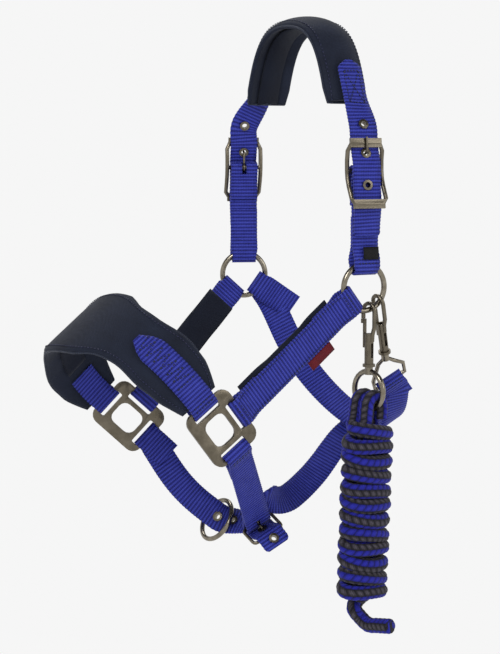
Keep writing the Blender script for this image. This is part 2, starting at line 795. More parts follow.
def crown_strap(side):
    """The strap from its stitched point on the pad to its free end below the buckle."""
    bar = buckle_place(side)
    out = bar.col[2].xyz
    over_pad = PAD_T / 2 + TOUCH_GAP + WEB_T / 2
    tip_rows = [
        crown_station(t, side.sign, over_pad + lift, WEB_W)
        for t, lift in ((0.74, 0.0003), (0.82, 0.0003), (0.91, 0.0008), (1.0, 0.0018))
    ]
    points = [row[0] for row in tip_rows]
    outs = [row[3] for row in tip_rows]
    for y, z in ((0.0400, 0.0006), (BUCKLE_ABOVE, BILLET_AT_TOP), (0.0145, 0.0040),
                 (0.0060, 0.0062), (0, BILLET_OVER_BAR), (-0.0065, BILLET_BELOW + 0.0014),
                 (-0.0130, BILLET_BELOW), (-BUCKLE_BELOW, BILLET_BELOW)):
        points.append(bar @ Vector((0, y, z)))
        outs.append(out)
    for height in (0.38, 0.28):
        centre, turned = chape_line(side, height)
        points.append(centre + turned * BILLET_BELOW)
        outs.append(turned)
    path = smooth_curve(points, 4 * (len(points) - 1))
    facing = smooth_curve(outs, 4 * (len(points) - 1))
    stations = free_run(path, facing, WEB_W)
    for row, share in ((0, 0.3), (1, 0.62), (2, 0.9), (len(stations) - 1, 0.86)):
        centre, across, _, turned = stations[row]
        stations[row] = (centre, across, WEB_W * share, turned)
    obj = webbing(f"{side.name}_crown_strap", stations)
    for row, play in ((4, 0.0016), (6, 0.0003), (10, 0.0012)):
        centre, _, _, turned = stations[4 * row]
        eyelet_hole(obj, centre, turned, WEB_T + play)
    return made_up(obj)


def cheek_chape(side):
    """The folded webbing between the buckle's centre bar and the cheek ring."""
    bar = buckle_place(side)
    low = fold_at_ring(side, side.ring + UP, 0.045)
    down = (chape_line(side, 0.8)[0] - bar.translation).normalized()
    high = wrap(bar.translation, down, bar.col[2].xyz, BAR_TURN_R, 0, 0.030, LAYER)
    across_high = bar.col[0].xyz
    stations = list(low)
    for i in range(1, 6):
        point = low[-1][0].lerp(high[-1], i / 6)
        turned = blend_directions(low[-1][1], across_high, 6)[i]
        stations.append((point, turned, WEB_W, side.ring_out))
    stations += stations_of(reversed(high), across_high, WEB_W, bar.col[2].xyz)
    obj = webbing(f"{side.name}_cheek_chape", stations)
    slot = block((2 * TONGUE_R + SLOT_PLAY, 0.0150, 0.016), (0, 0.0015, 0))
    cut(obj, slot, bar)
    return made_up(obj)


def cheek_ends(side):
    """Folds of the cheek strap at the ring and at the halter square."""
    bar = side.square + side.to_ring * CHEEK_BAR_AT
    at_ring_end = fold_at_ring(side, bar, 0.040)
    ring_fold = side.ring + level_part(bar - side.ring, side.ring_out) * RING_FOLD
    pull = level_part(ring_fold - bar, side.to_nose)
    out = pull.cross(side.to_nose) * side.sign
    at_square = wrap(bar, pull, out, SQUARE_TURN_R, 0, 0.030, LAYER)
    return at_ring_end, stations_of(reversed(at_square), (-pull).cross(out), WEB_W, out)


def cheek_run(side, rows):
    """Stations of the cheek strap's outer layer between its two folds."""
    low, high = cheek_ends(side)
    start, end = low[-1], high[0]
    found = []
    for i in range(rows + 1):
        t = i / rows
        across = start[1].lerp(end[1], smooth_step(t)).normalized()
        out = start[3].lerp(end[3], smooth_step(t)).normalized()
        found.append((start[0].lerp(end[0], t), across, WEB_W, out))
    return found


def cheek_strap(side):
    low, high = cheek_ends(side)
    stations = low + cheek_run(side, 8)[1:-1] + high
    return made_up(webbing(f"{side.name}_cheek_strap", stations))


def cheek_lining(side):
    """The soft strip inside the cheek strap, a little wider than the webbing."""
    under_tab = 2 * LAYER + WEB_T / 2 + LAYER_GAP + LINING_T / 2
    under_strap = WEB_T / 2 + TOUCH_GAP + LINING_T / 2
    stations = []
    rows = 16
    for i, (centre, across, _, out) in enumerate(cheek_run(side, rows)):
        near_end = min(i, rows - i) / rows
        depth = under_tab + (under_strap - under_tab) * smooth_step((near_end - 0.20) / 0.12)
        upward = across if across.z > 0 else -across
        stations.append((centre + upward * 0.0014 - out * depth, across, LINING_W, out))
    name = f"{side.name}_cheek_lining"
    return made_up(strip(name, stations, LINING_T, material("lining_fleece")))


def nose_arch(side, t):
    """Middle layer of the nose pad from the crest of the nose (0) to the pad's end (1)."""
    crest = NOSE_MIDDLE + NOSE_UP * NOSE_ARCH_RISE
    end = side.square + side.to_nose * (BAR_AT + 0.0068)
    reach = NOSE_ACROSS * (side.sign * NOSE_ARCH_REACH)
    lean = side.to_nose * 0.060 - NOSE_ACROSS * (side.sign * 0.004)
    return bezier(crest, crest + reach, end + lean, end, t)


def nose_station(side, t, offset, width):
    step = 0.01
    low, high = max(t - step, 0), min(t + step, 1)
    run = (nose_arch(side, high) - nose_arch(side, low)).normalized() * side.sign
    across = NOSE_BACK.lerp(side.to_ring, smooth_step((t - 0.25) / 0.6)).normalized()
    out = across.cross(run).normalized()
    if out.dot(NOSE_UP + side.square_out * 0.5) < 0:
        out = -out
    across = level_part(across, out)
    return (nose_arch(side, t) + out * offset, across, width, out)


def nose_band(offset, width_at, rows, reach=1.0):
    far = [nose_station(FAR, reach * i / rows, offset, width_at(i / rows))
           for i in range(rows, 0, -1)]
    near = [nose_station(NEAR, reach * i / rows, offset, width_at(i / rows))
            for i in range(rows + 1)]
    return far + near


# Half the pad, from its middle to its end: share of that half and the width there.
NOSE_PAD_WIDTHS = ((0.0, 0.074), (0.16, 0.0725), (0.36, 0.056), (0.52, 0.053), (0.72, 0.058),
                   (0.88, 0.052), (1.0, 0.036))


def nose_pad():
    def width_at(t):
        for (a, low), (b, high) in zip(NOSE_PAD_WIDTHS, NOSE_PAD_WIDTHS[1:]):
            if t <= b:
                return low + (high - low) * smooth_step((t - a) / (b - a))
        return NOSE_PAD_WIDTHS[-1][1]

    obj = pad("nose_pad", nose_band(0, width_at, NOSE_ROWS), NOSE_PAD_T * FOAM_SHARE, 10, 0.0,
              material("pad_nylon"))
    piping("nose_pad_piping", "nose_pad", 0.0)
    return soft(obj)


NOSE_SKIN = NOSE_PAD_T / 2 + TOUCH_GAP + WEB_T / 2


def nose_tunnel():
    inside = -(NOSE_PAD_T / 2 + TOUCH_GAP + TUNNEL_T / 2)
    rows = NOSE_ROWS - 4
    stations = nose_band(inside, lambda t: TUNNEL_W, rows, reach=rows / NOSE_ROWS)
    return made_up(strip("nose_pad_tunnel", stations, TUNNEL_T, material("lining_fleece")))


def nose_strap(side):
    """Webbing folded round the square's nose bar, with its pointed end stitched on the pad."""
    bar = side.square + side.to_nose * BAR_AT
    fold = wrap(bar, side.to_nose, side.square_out, SQUARE_TURN_R, 0, 0.030, NOSE_SKIN, 0.012)
    rows = [1 - i / NOSE_ROWS for i in range(9)]
    inside = [nose_station(side, t, -NOSE_SKIN, WEB_W) for t in reversed(rows[:4])]
    outside = [nose_station(side, t, NOSE_SKIN, WEB_W) for t in rows]
    across = inside[-1][1]
    stations = inside + stations_of(fold[3:-1], across, WEB_W, side.square_out) + outside
    for row, share in ((1, 0.3), (2, 0.75)):
        centre, turned, _, out = stations[-row]
        stations[-row] = (centre, turned, WEB_W * share, out)
    return made_up(webbing(f"{side.name}_nose_strap", stations))


CHIN_BAR = at_ring(27, -70.5, -212)
CHIN_WAY = Vector((0.16, 0.873, 0.46)).normalized()
CHIN_ALONG = level_part(Vector((-0.852, -0.112, 0.511)), CHIN_WAY)
CHIN_PLACE = placement(CHIN_BAR, CHIN_WAY, CHIN_ALONG)
CHIN_PULL = CHIN_PLACE.col[2].xyz
CHIN_LENGTH = 0.0180
CHIN_WIRE_R = 0.0016
CHIN_TONGUE_R = 0.0009
CHIN_TURN_R = CHIN_WIRE_R + TURN_GAP + WEB_T / 2
CHIN_UNDER_BAR = CHIN_TURN_R + WEB_T + LAYER_GAP
CHIN_STRAP_WAY = Vector((0.35, 0.48, 0.81)).normalized()
LINK_WAY = Vector((-0.52, -0.05, 0.67)).normalized()


def near_chin_strap():
    """From the near square down to a fold round the bar of the chin buckle."""
    bar = NEAR.square - NEAR.to_nose * BAR_AT
    end = wrap(CHIN_BAR, CHIN_PULL, -CHIN_ALONG, CHIN_TURN_R, 0, 0.022, LAYER, 0.010)
    end.reverse()
    across = (-NEAR.to_nose).cross(NEAR.square_out)
    pull = level_part(end[0] - bar, NEAR.to_ring)
    fold = wrap(bar, pull, across.cross(pull), SQUARE_TURN_R, 0, 0.030, LAYER)
    path = [fold[-1], fold[-1].lerp(end[0], 0.5), end[0]]
    ways = [across, across.lerp(-CHIN_WAY, 0.5), -CHIN_WAY]
    steps = 4 * (len(path) - 1)
    run = band_run(smooth_curve(path, steps), smooth_curve(ways, steps), WEB_W)
    stations = stations_of(fold, across, WEB_W, across.cross(pull)) + run[1:-1]
    stations += stations_of(end, -CHIN_WAY, WEB_W, -CHIN_ALONG)
    obj = webbing("near_chin_strap", stations)
    slot = block((2 * CHIN_TONGUE_R + SLOT_PLAY, 0.0120, 0.0120), (0, 0, -0.0003))
    cut(obj, slot, CHIN_PLACE)
    return made_up(obj)


def chin_strap_run():
    """The far chin strap from its square, under the jaw, through the buckle to its free end."""
    bar = FAR.square - FAR.to_nose * BAR_AT
    across = (-FAR.to_nose).cross(FAR.square_out)
    pull = level_part(at_ring(-59, -111, -171) - bar, FAR.to_ring)
    out = across.cross(pull)
    fold = wrap(bar, pull, out, SQUARE_TURN_R, 0, 0.026, LAYER)
    path = [fold[-1], at_ring(-57, -109.5, -175), at_ring(-42, -97, -196),
            at_ring(-26, -86, -208), at_ring(-11, -79, -215.5)]
    for y, z in ((0.0062, -CHIN_UNDER_BAR - 0.0034), (-0.0096, -0.0024),
                 (-CHIN_LENGTH, CHIN_WIRE_R + WEB_T / 2 + 0.0018),
                 (-CHIN_LENGTH - 0.0080, 0.0034), (-CHIN_LENGTH - 0.0150, 0.0005)):
        path.append(CHIN_PLACE @ Vector((0, y, z)))
    middle = CHIN_STRAP_WAY
    ways = [across, across.lerp(middle, 0.5), middle, middle, middle.lerp(CHIN_WAY, 0.4)]
    ways += [CHIN_WAY] * 5
    steps = 3 * (len(path) - 1)
    run = band_run(smooth_curve(path, steps), smooth_curve(ways, steps), WEB_W)
    centre, turned, _, facing = run[-1]
    run[-1] = (centre, turned, WEB_W * 0.8, facing)
    return stations_of(fold, across, WEB_W, out), run


def far_chin_strap():
    fold, run = chin_strap_run()
    obj = webbing("far_chin_strap", eased(fold + run[1:], 12, 22))
    for row in (11, 13, 18, 24):
        centre, _, _, out = run[row]
        eyelet_hole(obj, centre, out, WEB_T + 0.0016)
    return made_up(obj)


def chin_ring_place():
    """A plain ring that the far chin strap threads at a slant."""
    _, run = chin_strap_run()
    centre, across, _, out = run[11]
    hang = across if across.z < 0 else -across
    tilt = math.radians(33)
    along = out.cross(hang)
    normal = (out * math.cos(tilt) - along * math.sin(tilt)).normalized()
    drop = CHIN_RING_MEAN_R - CHIN_RING_WIRE_R - WEB_W / 2 - 0.0016
    return placement(centre + hang * drop, normal.cross(hang), hang)


def throat_link_strap():
    """The strap from behind the chin buckle's fold to the underside of the throat strap."""
    centre, across, _, out = throat_run()[12]
    end = centre + out * (WEB_T + 0.0012)
    depth = CHIN_TURN_R + WEB_T + 0.0014
    path = [CHIN_PLACE @ Vector((x, depth, 0.0085)) for x in (-0.009, 0.009, 0.020)]
    path += [at_ring(17, -28, -197), at_ring(6, 12, -180), end - across * 0.022,
             end + across * 0.006]
    end_way = across.cross(out)
    ways = [CHIN_PULL, CHIN_PULL, CHIN_PULL.lerp(LINK_WAY, 0.1), LINK_WAY,
            LINK_WAY.lerp(end_way, 0.5), end_way, end_way]
    steps = 3 * (len(path) - 1)
    stations = band_run(smooth_curve(path, steps), smooth_curve(ways, steps), WEB_W)
    return made_up(webbing("throat_link_strap", stations))


THROAT_WAY = Vector((0.10, 0.86, 0.50)).normalized()
D_BAR = at_ring(77, 42, -87.5)
D_BAR_WAY = Vector((0.50, 0.66, 0.56)).normalized()
D_WIRE_R = 0.0019
D_PULL = level_part(at_ring(67, 56, -114) - D_BAR, D_BAR_WAY)
D_OUT = D_PULL.cross(D_BAR_WAY)


def throat_fold():
    aim = FAR.ring + FAR.ring_back * 0.82 - UP * 0.57
    return fold_at_ring(FAR, aim, 0.040)


def throat_end():
    turn_r = D_WIRE_R + TURN_GAP + WEB_T / 2
    end = wrap(D_BAR, D_PULL, D_OUT, turn_r, 0, 0.024, LAYER, 0.012)
    end.reverse()
    return end


def throat_run():
    """The throat strap between its two folds."""
    fold = throat_fold()
    path = [fold[-1][0], at_ring(-67, 30, -58), at_ring(-50, 40, -87),
            at_ring(-27, 51, -113), at_ring(8, 60, -136), at_ring(38, 66, -141),
            at_ring(57, 65, -131), at_ring(67, 56, -114), throat_end()[0]]
    start = fold[-1][1]
    ways = [start, start.lerp(THROAT_WAY, 0.3), start.lerp(THROAT_WAY, 0.7), THROAT_WAY,
            THROAT_WAY, THROAT_WAY, THROAT_WAY, D_BAR_WAY, D_BAR_WAY]
    steps = 3 * (len(path) - 1)
    return band_run(smooth_curve(path, steps), smooth_curve(ways, steps), WEB_W)


def throat_strap():
    """From the far ring, under the throat, to a fold round the bar of the throat snap's eye."""
    stations = throat_fold() + throat_run()[1:-1]
    stations += stations_of(throat_end(), D_BAR_WAY, WEB_W, D_OUT)
    return made_up(webbing("throat_strap", eased(stations, 12, len(stations) - 14)))


EYE_DROP = 0.0336


def on_near_ring(turn):
    """A point on the near ring's wire, turned from its bottom towards the back, and its run."""
    t = math.radians(turn)
    wire = NEAR.ring + (NEAR.ring_back * math.sin(t) - UP * math.cos(t)) * RING_MEAN_R
    return wire, NEAR.ring_back * math.cos(t) + UP * math.sin(t)


def snap_place(turn, twist):
    """Snap frame: x towards the hook's spine, y up the barrel, z through the hook's eye."""
    wire, tangent = on_near_ring(turn)
    down = -UP
    slope = math.asin(abs(tangent.dot(down)))
    inside = RING_WIRE_R / math.cos(slope) + HOOK_WIRE_R * math.tan(slope) + 0.0004
    hang = HOOK_RISE + HOOK_BEND_R - HOOK_WIRE_R - inside
    lateral = down.cross(level_part(tangent, down))
    lateral = Matrix.Rotation(math.radians(twist), 3, -down) @ lateral
    return placement(wire + down * hang, lateral, -down)


LEAD_PLACE = snap_place(16, 16)


def rope_frame():
    """On the lead ring's bottom wire: x along the ring's plane, y up and z through the ring."""
    low = Vector((0, -EYE_DROP - 2 * LEAD_RING_MEAN_R, 0))
    matrix = LEAD_PLACE.copy()
    matrix.translation = LEAD_PLACE @ low
    return matrix


STRAND_R = 0.0060
STRAND_OFFSET = STRAND_R + 0.0002
STRAND_LIFT = 0.0032
HANK_TOP = -0.0045
HANK_LEAN = -0.0070
# The strands up the middle of the hank: distance from its core line, and stops down it.
CORE_R = 0.0066
CORE_STOPS = (0.018, 0.05, 0.09, 0.13, 0.154)


def side_label():
    """A blank folded fabric tag that hangs from the lower edge of the near cheek strap."""
    stations = []
    for centre, across, _, out in cheek_run(NEAR, 16)[3:8]:
        down = across if across.z < 0 else -across
        edge = centre + down * (WEB_W / 2 + TOUCH_GAP + 0.0045)
        stations.append((edge, down, 0.009, out))
    return made_up(strip("side_label", stations, 0.0012, material("red_satin_tag")))


def size_label():
    """A blank woven tag on the outside of the near upper cheek piece."""
    low = NEAR.ring + UP * 0.0250 + NEAR.ring_out * 0.0072
    across = UP.cross(NEAR.ring_out)
    stations = [
        (low + UP * (0.011 * t) - NEAR.ring_out * (0.0009 * t) + across * 0.003, across, 0.015,
         NEAR.ring_out)
        for t in (0, 1)
    ]
    return made_up(strip("size_label", stations, 0.0008, material("black_satin_tag")))


# ---------------------------------------------------------------- pads


def inflate(obj, held, cap):
    """Fills a closed pad by a pressure simulation: its seam is held and its swelling capped."""
    before = [v.co.copy() for v in obj.data.vertices]
    group = obj.vertex_groups.new(name="seam")
    group.add(held, 1, "ADD")
    cloth = obj.modifiers.new("filling", "CLOTH")
    cloth.settings.quality = 5
    cloth.settings.mass = 0.3
    cloth.settings.use_pressure = True
    cloth.settings.uniform_pressure_force = 4
    cloth.settings.effector_weights.gravity = 0
    cloth.settings.vertex_group_mass = group.name
    cloth.point_cache.frame_start = 1
    cloth.point_cache.frame_end = FILL_FRAMES
    for step in range(1, FILL_FRAMES + 1):
        bpy.context.scene.frame_set(step)
    graph = bpy.context.evaluated_depsgraph_get()
    filled = [v.co.copy() for v in obj.evaluated_get(graph).to_mesh().vertices]
    obj.modifiers.clear()
    for vert, start, end in zip(obj.data.vertices, before, filled):
        move = end - start
        if move.length > cap:
            move *= cap / move.length
        vert.co = start + move
    bpy.context.scene.frame_set(1)
    return obj


def pad(name, stations, thickness, columns, crown, finish):
    """A stuffed pad: a section carried along the stations, with a seam down both edges."""
    rows, length = spaced(stations, 0.0045)
    BANDS[name] = (rows, length, thickness, crown)
    loop = []
    for column in range(columns + 1):
        side = 2 * column / columns - 1
        loop.append((side * 0.97, 1))
    around = [(1.0, 0.45), (1.0, -0.45)]
    loop = loop + around + [(-x, -z) for x, z in loop] + [(-x, -z) for x, z in around]
    count = len(loop)
    bm = grid_on(len(rows) - 1, count)
    for row, (centre, across, width, out) in enumerate(rows):
        for column in range(count + 1):
            side, face = loop[column % count]
            swell = 1 - 0.16 * abs(side) ** 6
            bm.verts[row * (count + 1) + column].co = (
                centre + across * (width * side / 2)
                + out * (face * swell * thickness / 2 - crown * side * side)
            )
    reach = 2 * (columns + 2)
    lay_uvs(bm, count, lambda row: row * length / (len(rows) - 1),
            lambda row, column: rows[row][2] * column / reach)
    bmesh.ops.remove_doubles(bm, verts=bm.verts, dist=1e-6)
    ends = [edge for edge in bm.edges if edge.is_boundary]
    bmesh.ops.holes_fill(bm, edges=ends)
    lids = [face for face in bm.faces if len(face.verts) > 4]
    for lid in lids:
        bmesh.ops.inset_region(bm, faces=[lid], thickness=0.0012, depth=0.0012)
    bmesh.ops.recalc_face_normals(bm, faces=bm.faces)
    bm.verts.index_update()
    obj = finished(name + "_cloth", bm, finish)
    seam = []
    for vert in obj.data.vertices:
        near = min(rows, key=lambda r: (r[0] - vert.co).length_squared)
        if abs((vert.co - near[0]).dot(near[1])) > near[2] * SEAM_SHARE:
            seam.append(vert.index)
    inflate(obj, seam, FILL_CAP)
    smooth = obj.modifiers.new("smooth", "SUBSURF")
    smooth.levels = smooth.render_levels = 1
    freeze(obj)
    return obj


def tube(name, path, radius, finish, around, relief=None):
    """A round cord along a path, with relief(length, turn) on its radius; UVs are length, turn."""
    bm = grid_on(len(path) - 1, around)
    walked = [0.0]
    for a, b in zip(path, path[1:]):
        walked.append(walked[-1] + (b - a).length)
    run = (path[1] - path[0]).normalized()
    side = run.orthogonal().normalized()
    for row, point in enumerate(path):
        ahead = path[min(row + 1, len(path) - 1)] - path[max(row - 1, 0)]
        ahead.normalize()
        side = (run.rotation_difference(ahead) @ side).normalized()
        run = ahead
        up = run.cross(side)
        wire = radius(walked[row]) if callable(radius) else radius
        for column in range(around + 1):
            turn = column % around / around
            r = wire + (relief(walked[row], turn) if relief else 0)
            bm.verts[row * (around + 1) + column].co = (
                point + side * (r * math.cos(2 * math.pi * turn))
                + up * (r * math.sin(2 * math.pi * turn))
            )
    lay_uvs(bm, around, lambda row: walked[row], lambda row, column: column / around)
    bmesh.ops.remove_doubles(bm, verts=bm.verts, dist=1e-7)
    bmesh.ops.holes_fill(bm, edges=[edge for edge in bm.edges if edge.is_boundary])
    bmesh.ops.recalc_face_normals(bm, faces=bm.faces)
    return finished(name, bm, finish)


def piping(name, band, lift, radius=0.0010):
    """Bound edges: a fabric-covered cord sewn along both sides of a pad."""
    rows = BANDS[band][0]
    lines = []
    for sign in (1, -1):
        line = []
        for centre, across, width, out in rows:
            line.append(centre + across * (sign * (width / 2 + 0.0002)) - out * lift)
        lines.append(line)
    whole = lines[0] + list(reversed(lines[1])) + [lines[0][0]]
    points = []
    for a, b in zip(whole, whole[1:]):
        steps = max(1, round((b - a).length / 0.004))
        points += [a.lerp(b, i / steps) for i in range(steps)]
    points.append(whole[-1])
    made = tube(name, points, radius, material("binding_tape"), around=8)
    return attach(made, BODY_OF[band])


# ---------------------------------------------------------------- stitching


def stitches(name, band, lines):
    """Lock stitches along lines on a band's outer face, each line given by its two ends."""
    sizes = bpy.context.scene.headcollar_sizes
    bm = bmesh.new()
    for u0, v0, u1, v1 in lines:
        length = math.hypot(u1 - u0, v1 - v0)
        count = max(1, round(length / sizes.stitch_length))
        for i in range(count):
            t0, t1 = (i + 0.12) / count, (i + 0.88) / count
            a, out = spot(band, u0 + (u1 - u0) * t0, v0 + (v1 - v0) * t0, 0.0001)
            b, _ = spot(band, u0 + (u1 - u0) * t1, v0 + (v1 - v0) * t1, 0.0001)
            if (b - a).length < 1e-5:
                continue
            turned = placement((a + b) / 2, b - a, out.cross(b - a))
            half = (b - a).length / 2
            thick = sizes.thread_width / 2
            bmesh.ops.create_uvsphere(
                bm, u_segments=6, v_segments=4, radius=1,
                matrix=turned @ Matrix.Diagonal((half, thick, thick * 0.8, 1)),
            )
    return finished(name, bm, material("sewing_thread"))


def box_stitch(u0, u1, v=0.0085):
    """A sewn box with its cross."""
    return [(u0, -v, u1, -v), (u0, v, u1, v), (u0, -v, u0, v), (u1, -v, u1, v),
            (u0, -v, u1, v), (u0, v, u1, -v)]


def bar_tacks(*places, v=0.0100):
    """Rows of stitches straight across a strap."""
    return [(u, -v, u, v) for u in places]


def zigzag(u0, u1, v, teeth):
    found = []
    for i in range(teeth):
        a, b = u0 + (u1 - u0) * i / teeth, u0 + (u1 - u0) * (i + 1) / teeth
        found.append((a, -v if i % 2 else v, b, v if i % 2 else -v))
    return found


# ---------------------------------------------------------------- metal


CORNER_ANGLE = math.radians(52)
FLAT_ANGLE = math.radians(1.5)


def ring_piece(node, mean_r, wire_r, matrix, finish):
    """A smooth welded ring."""
    bm = bmesh.new()
    bmesh.ops.create_circle(
        bm, segments=20, radius=wire_r,
        matrix=Matrix.Translation((mean_r, 0, 0)) @ Matrix.Rotation(math.pi / 2, 4, "X"),
    )
    bmesh.ops.spin(
        bm, geom=bm.edges[:], cent=(0, 0, 0), axis=(0, 0, 1), angle=2 * math.pi, steps=84,
        use_merge=True,
    )
    bmesh.ops.remove_doubles(bm, verts=bm.verts, dist=1e-7)
    bmesh.ops.recalc_face_normals(bm, faces=bm.faces)
    bm.transform(matrix)
    return stand_in(finished(node + "_wire", bm, finish), node)


def polished(node, finish, bevel=0.0):
    """A merged copy of a cast piece, smooth across its rounds and crisp at its corners."""
    bm = bmesh.new()
    bm.from_mesh(frame["nodes"][node].data)
    bmesh.ops.remove_doubles(bm, verts=bm.verts, dist=1e-6)
    if bevel:
        bmesh.ops.dissolve_limit(
            bm, angle_limit=FLAT_ANGLE, verts=bm.verts, edges=bm.edges
        )
    corners = [
        e for e in bm.edges
        if len(e.link_faces) == 2 and e.calc_face_angle(0) > CORNER_ANGLE
    ]
    if bevel:
        bmesh.ops.bevel(
            bm, geom=corners, offset=bevel, offset_type="OFFSET", affect="EDGES", segments=2,
            profile=0.5, material=-1, clamp_overlap=True,
        )
    else:
        for edge in corners:
            edge.smooth = False
    obj = finished(node + "_metal", bm, finish)
    return stand_in(obj, node)


# ---------------------------------------------------------------- rope


PLAIT_ROWS = 6


def rope_route():
    """One line from the rope's tucked end: over the ring, down and up the core, over the ring
    again, round the core in turns and out into the tail."""
    sizes = bpy.context.scene.headcollar_sizes
    bend = LEAD_RING_WIRE_R + TOUCH_GAP + STRAND_R
    low = HANK_TOP - HANK_L

    def core(y, z):
        return Vector((HANK_LEAN * (HANK_TOP - y) / HANK_L, y, z))

    def over(x, first):
        return [
            Vector((x, STRAND_LIFT + bend * math.sin(math.pi * i / 8),
                    first * bend * math.cos(math.pi * i / 8)))
            for i in range(9)
        ]

    route = [Vector((STRAND_OFFSET, HANK_TOP - 0.004, -bend))] + over(STRAND_OFFSET, -1)
    route += [Vector((STRAND_OFFSET * 0.8, HANK_TOP - 0.004, bend))]
    route += [core(HANK_TOP - d, CORE_R) for d in CORE_STOPS]
    route += [core(HANK_TOP - HANK_L + 0.0068 + CORE_R * (1 - math.sin(math.pi * i / 6)),
                   CORE_R * math.cos(math.pi * i / 6)) for i in range(7)]
    route += [core(HANK_TOP - d, -CORE_R) for d in reversed(CORE_STOPS)]
    route += [Vector((-STRAND_OFFSET * 0.8, HANK_TOP - 0.004, -bend))]
    route += over(-STRAND_OFFSET, -1)
    route += [Vector((-STRAND_OFFSET - 0.0005, HANK_TOP - 0.0015, bend + 0.0008))]
    turns, per_turn = sizes.rope_turns, 22
    start, end = HANK_TOP - 0.011, low + 0.0085
    across_r, along_r = HANK_WALL_R - ROPE_R, HANK_WALL_R - ROPE_R + HANK_CORE_SPAN / 2
    steps = round(turns * per_turn)
    for i in range(steps + 1):
        turn = math.pi * 0.62 - 2 * math.pi * i / per_turn
        y = start + (end - start) * i / steps
        # The turns ride up and down a little, as hand-wound ones do.
        y += 0.0010 * math.sin(1.7 * turn) + 0.0005 * math.sin(0.61 * turn + 1)
        wobble = 0.0003 * math.sin(2.3 * turn)
        tight = 1 - 0.16 * max(0, 1 - i / per_turn * 2.4)
        x = (across_r * tight + wobble) * math.cos(turn)
        z = (along_r * tight + wobble) * math.sin(turn)
        route.append(Vector((x + HANK_LEAN * (HANK_TOP - y) / HANK_L, y, z)))
    tail = [(-0.010, -0.0050, 0.006), (-0.007, -0.0130, 0.001), (0.002, -0.0180, 0.0),
            (0.013, -0.0165, 0.0), (0.028, -0.0140, 0.0)]
    route += [Vector((x, low + y, z)) for x, y, z in tail]
    return [rope_frame() @ point for point in route]


def evenly(points, spacing):
    """A smooth line through points, at an even spacing."""
    up = Vector((0, 0, 1))
    rows, length = spaced([(point, up, 1.0, up) for point in points], spacing)
    return [row[0] for row in rows], length


def plait(along, turn):
    """Relief of a plaited rope: rows of slanted stitches that lie along it."""
    sizes = bpy.context.scene.headcollar_sizes
    row, inside = divmod(turn * PLAIT_ROWS, 1)
    lean = 0.5 * inside if row % 2 else -0.5 * inside
    bulge = abs(math.sin(math.pi * (along / sizes.plait_length + lean)))
    return 0.00055 * math.sqrt(bulge * math.sin(math.pi * inside)) - 0.0002


def lead_rope():
    path, length = evenly(rope_route(), 0.0015)

    def thickness(walked):
        return STRAND_R + 0.0002 + (ROPE_R - STRAND_R - 0.0001) * smooth_step(walked / 0.04 - 11)

    obj = tube("lead_rope_plaited", path, thickness, material("rope_plaited"), around=24,
               relief=plait)
    stand_in(obj, "lead_rope_hank", "lead_rope_bight_front", "lead_rope_bight_rear",
             "lead_rope_tail")

# ---------------------------------------------------------------- settings


class HeadcollarSizes(bpy.types.PropertyGroup):
    """Sizes that a maker would change."""

    rib_pitch: bpy.props.FloatProperty(
        name="Rib pitch", description="Distance between the webbing's crosswise ribs",
        default=0.0032, min=0.001, unit="LENGTH", precision=5)
    stitch_length: bpy.props.FloatProperty(
        name="Stitch length", description="Length of one lock stitch",
        default=0.0034, min=0.001, unit="LENGTH", precision=5)
    thread_width: bpy.props.FloatProperty(
        name="Thread width", description="Thickness of the sewing thread",
        default=0.0011, min=0.0002, unit="LENGTH", precision=5)
    plait_length: bpy.props.FloatProperty(
        name="Plait length", description="Length of rope in which a strand repeats",
        default=0.0052, min=0.004, unit="LENGTH", precision=5)
    rope_turns: bpy.props.FloatProperty(
        name="Rope turns", description="How many times the rope goes round the hank",
        default=11.6, min=4, max=13)


# Setting, label, description and sRGB hex value.
COLOURS = (
    ("webbing", "Webbing", "Main colour of the webbing", "#1f2585"),
    ("webbing_shade", "Webbing shade", "Colour between the ribs", "#0b0e3c"),
    ("webbing_light", "Webbing light", "Colour on top of the ribs", "#3d47a8"),
    ("pad", "Pad", "Main colour of the pads", "#1f2535"),
    ("pad_shade", "Pad shade", "Darker colour of the pads", "#11141f"),
    ("lining", "Lining", "Colour of the soft lining", "#151a28"),
    ("piping", "Piping", "Colour of the bound edges", "#2b3244"),
    ("thread", "Thread", "Colour of the stitching", "#1d2148"),
    ("thread_shade", "Thread shade", "Darker colour of the stitching", "#0d0f24"),
    ("cast", "Cast metal", "Colour of the cast fittings", "#6e675a"),
    ("cast_shade", "Cast shade", "Darker colour of the cast fittings", "#585246"),
    ("cast_light", "Cast light", "Rubbed colour of the cast fittings", "#877f70"),
    ("wire", "Wire", "Colour of the welded rings", "#8f887a"),
    ("wire_shade", "Wire shade", "Duller colour of the welded rings", "#716a5d"),
    ("rope_blue", "Rope blue", "Blue strands of the rope", "#1d1f86"),
    ("rope_dark", "Rope dark", "Dark strands of the rope", "#2a272e"),
    ("red_tag", "Red tag", "Colour of the side tag", "#6b1420"),
    ("black_tag", "Black tag", "Colour of the size tag", "#161618"),
)


class HeadcollarColours(bpy.types.PropertyGroup):
    """Colours as sRGB hex values."""

    __annotations__ = {
        key: bpy.props.StringProperty(name=label, description=text, default=value)
        for key, label, text, value in COLOURS
    }


# ---------------------------------------------------------------- operators


class HEADCOLLAR_OT_finishes(bpy.types.Operator):
    """Makes every material of the headcollar"""

    bl_idname = "headcollar.finishes"
    bl_label = "Finishes"

    def execute(self, context):
        colours = context.scene.headcollar_colours
        webbing_material(colours)
        pad_material("pad_nylon", colours.pad_shade, colours.pad)
        pad_material("lining_fleece", colours.pad_shade, colours.lining, 1.6)
        tape_material(colours)
        thread_material(colours)
        cast_material(colours)
        wire_material(colours)
        rope_material(colours)
        tag_material("red_satin_tag", "#470d15", colours.red_tag)
        tag_material("black_satin_tag", "#0b0b0c", colours.black_tag)
        return {"FINISHED"}


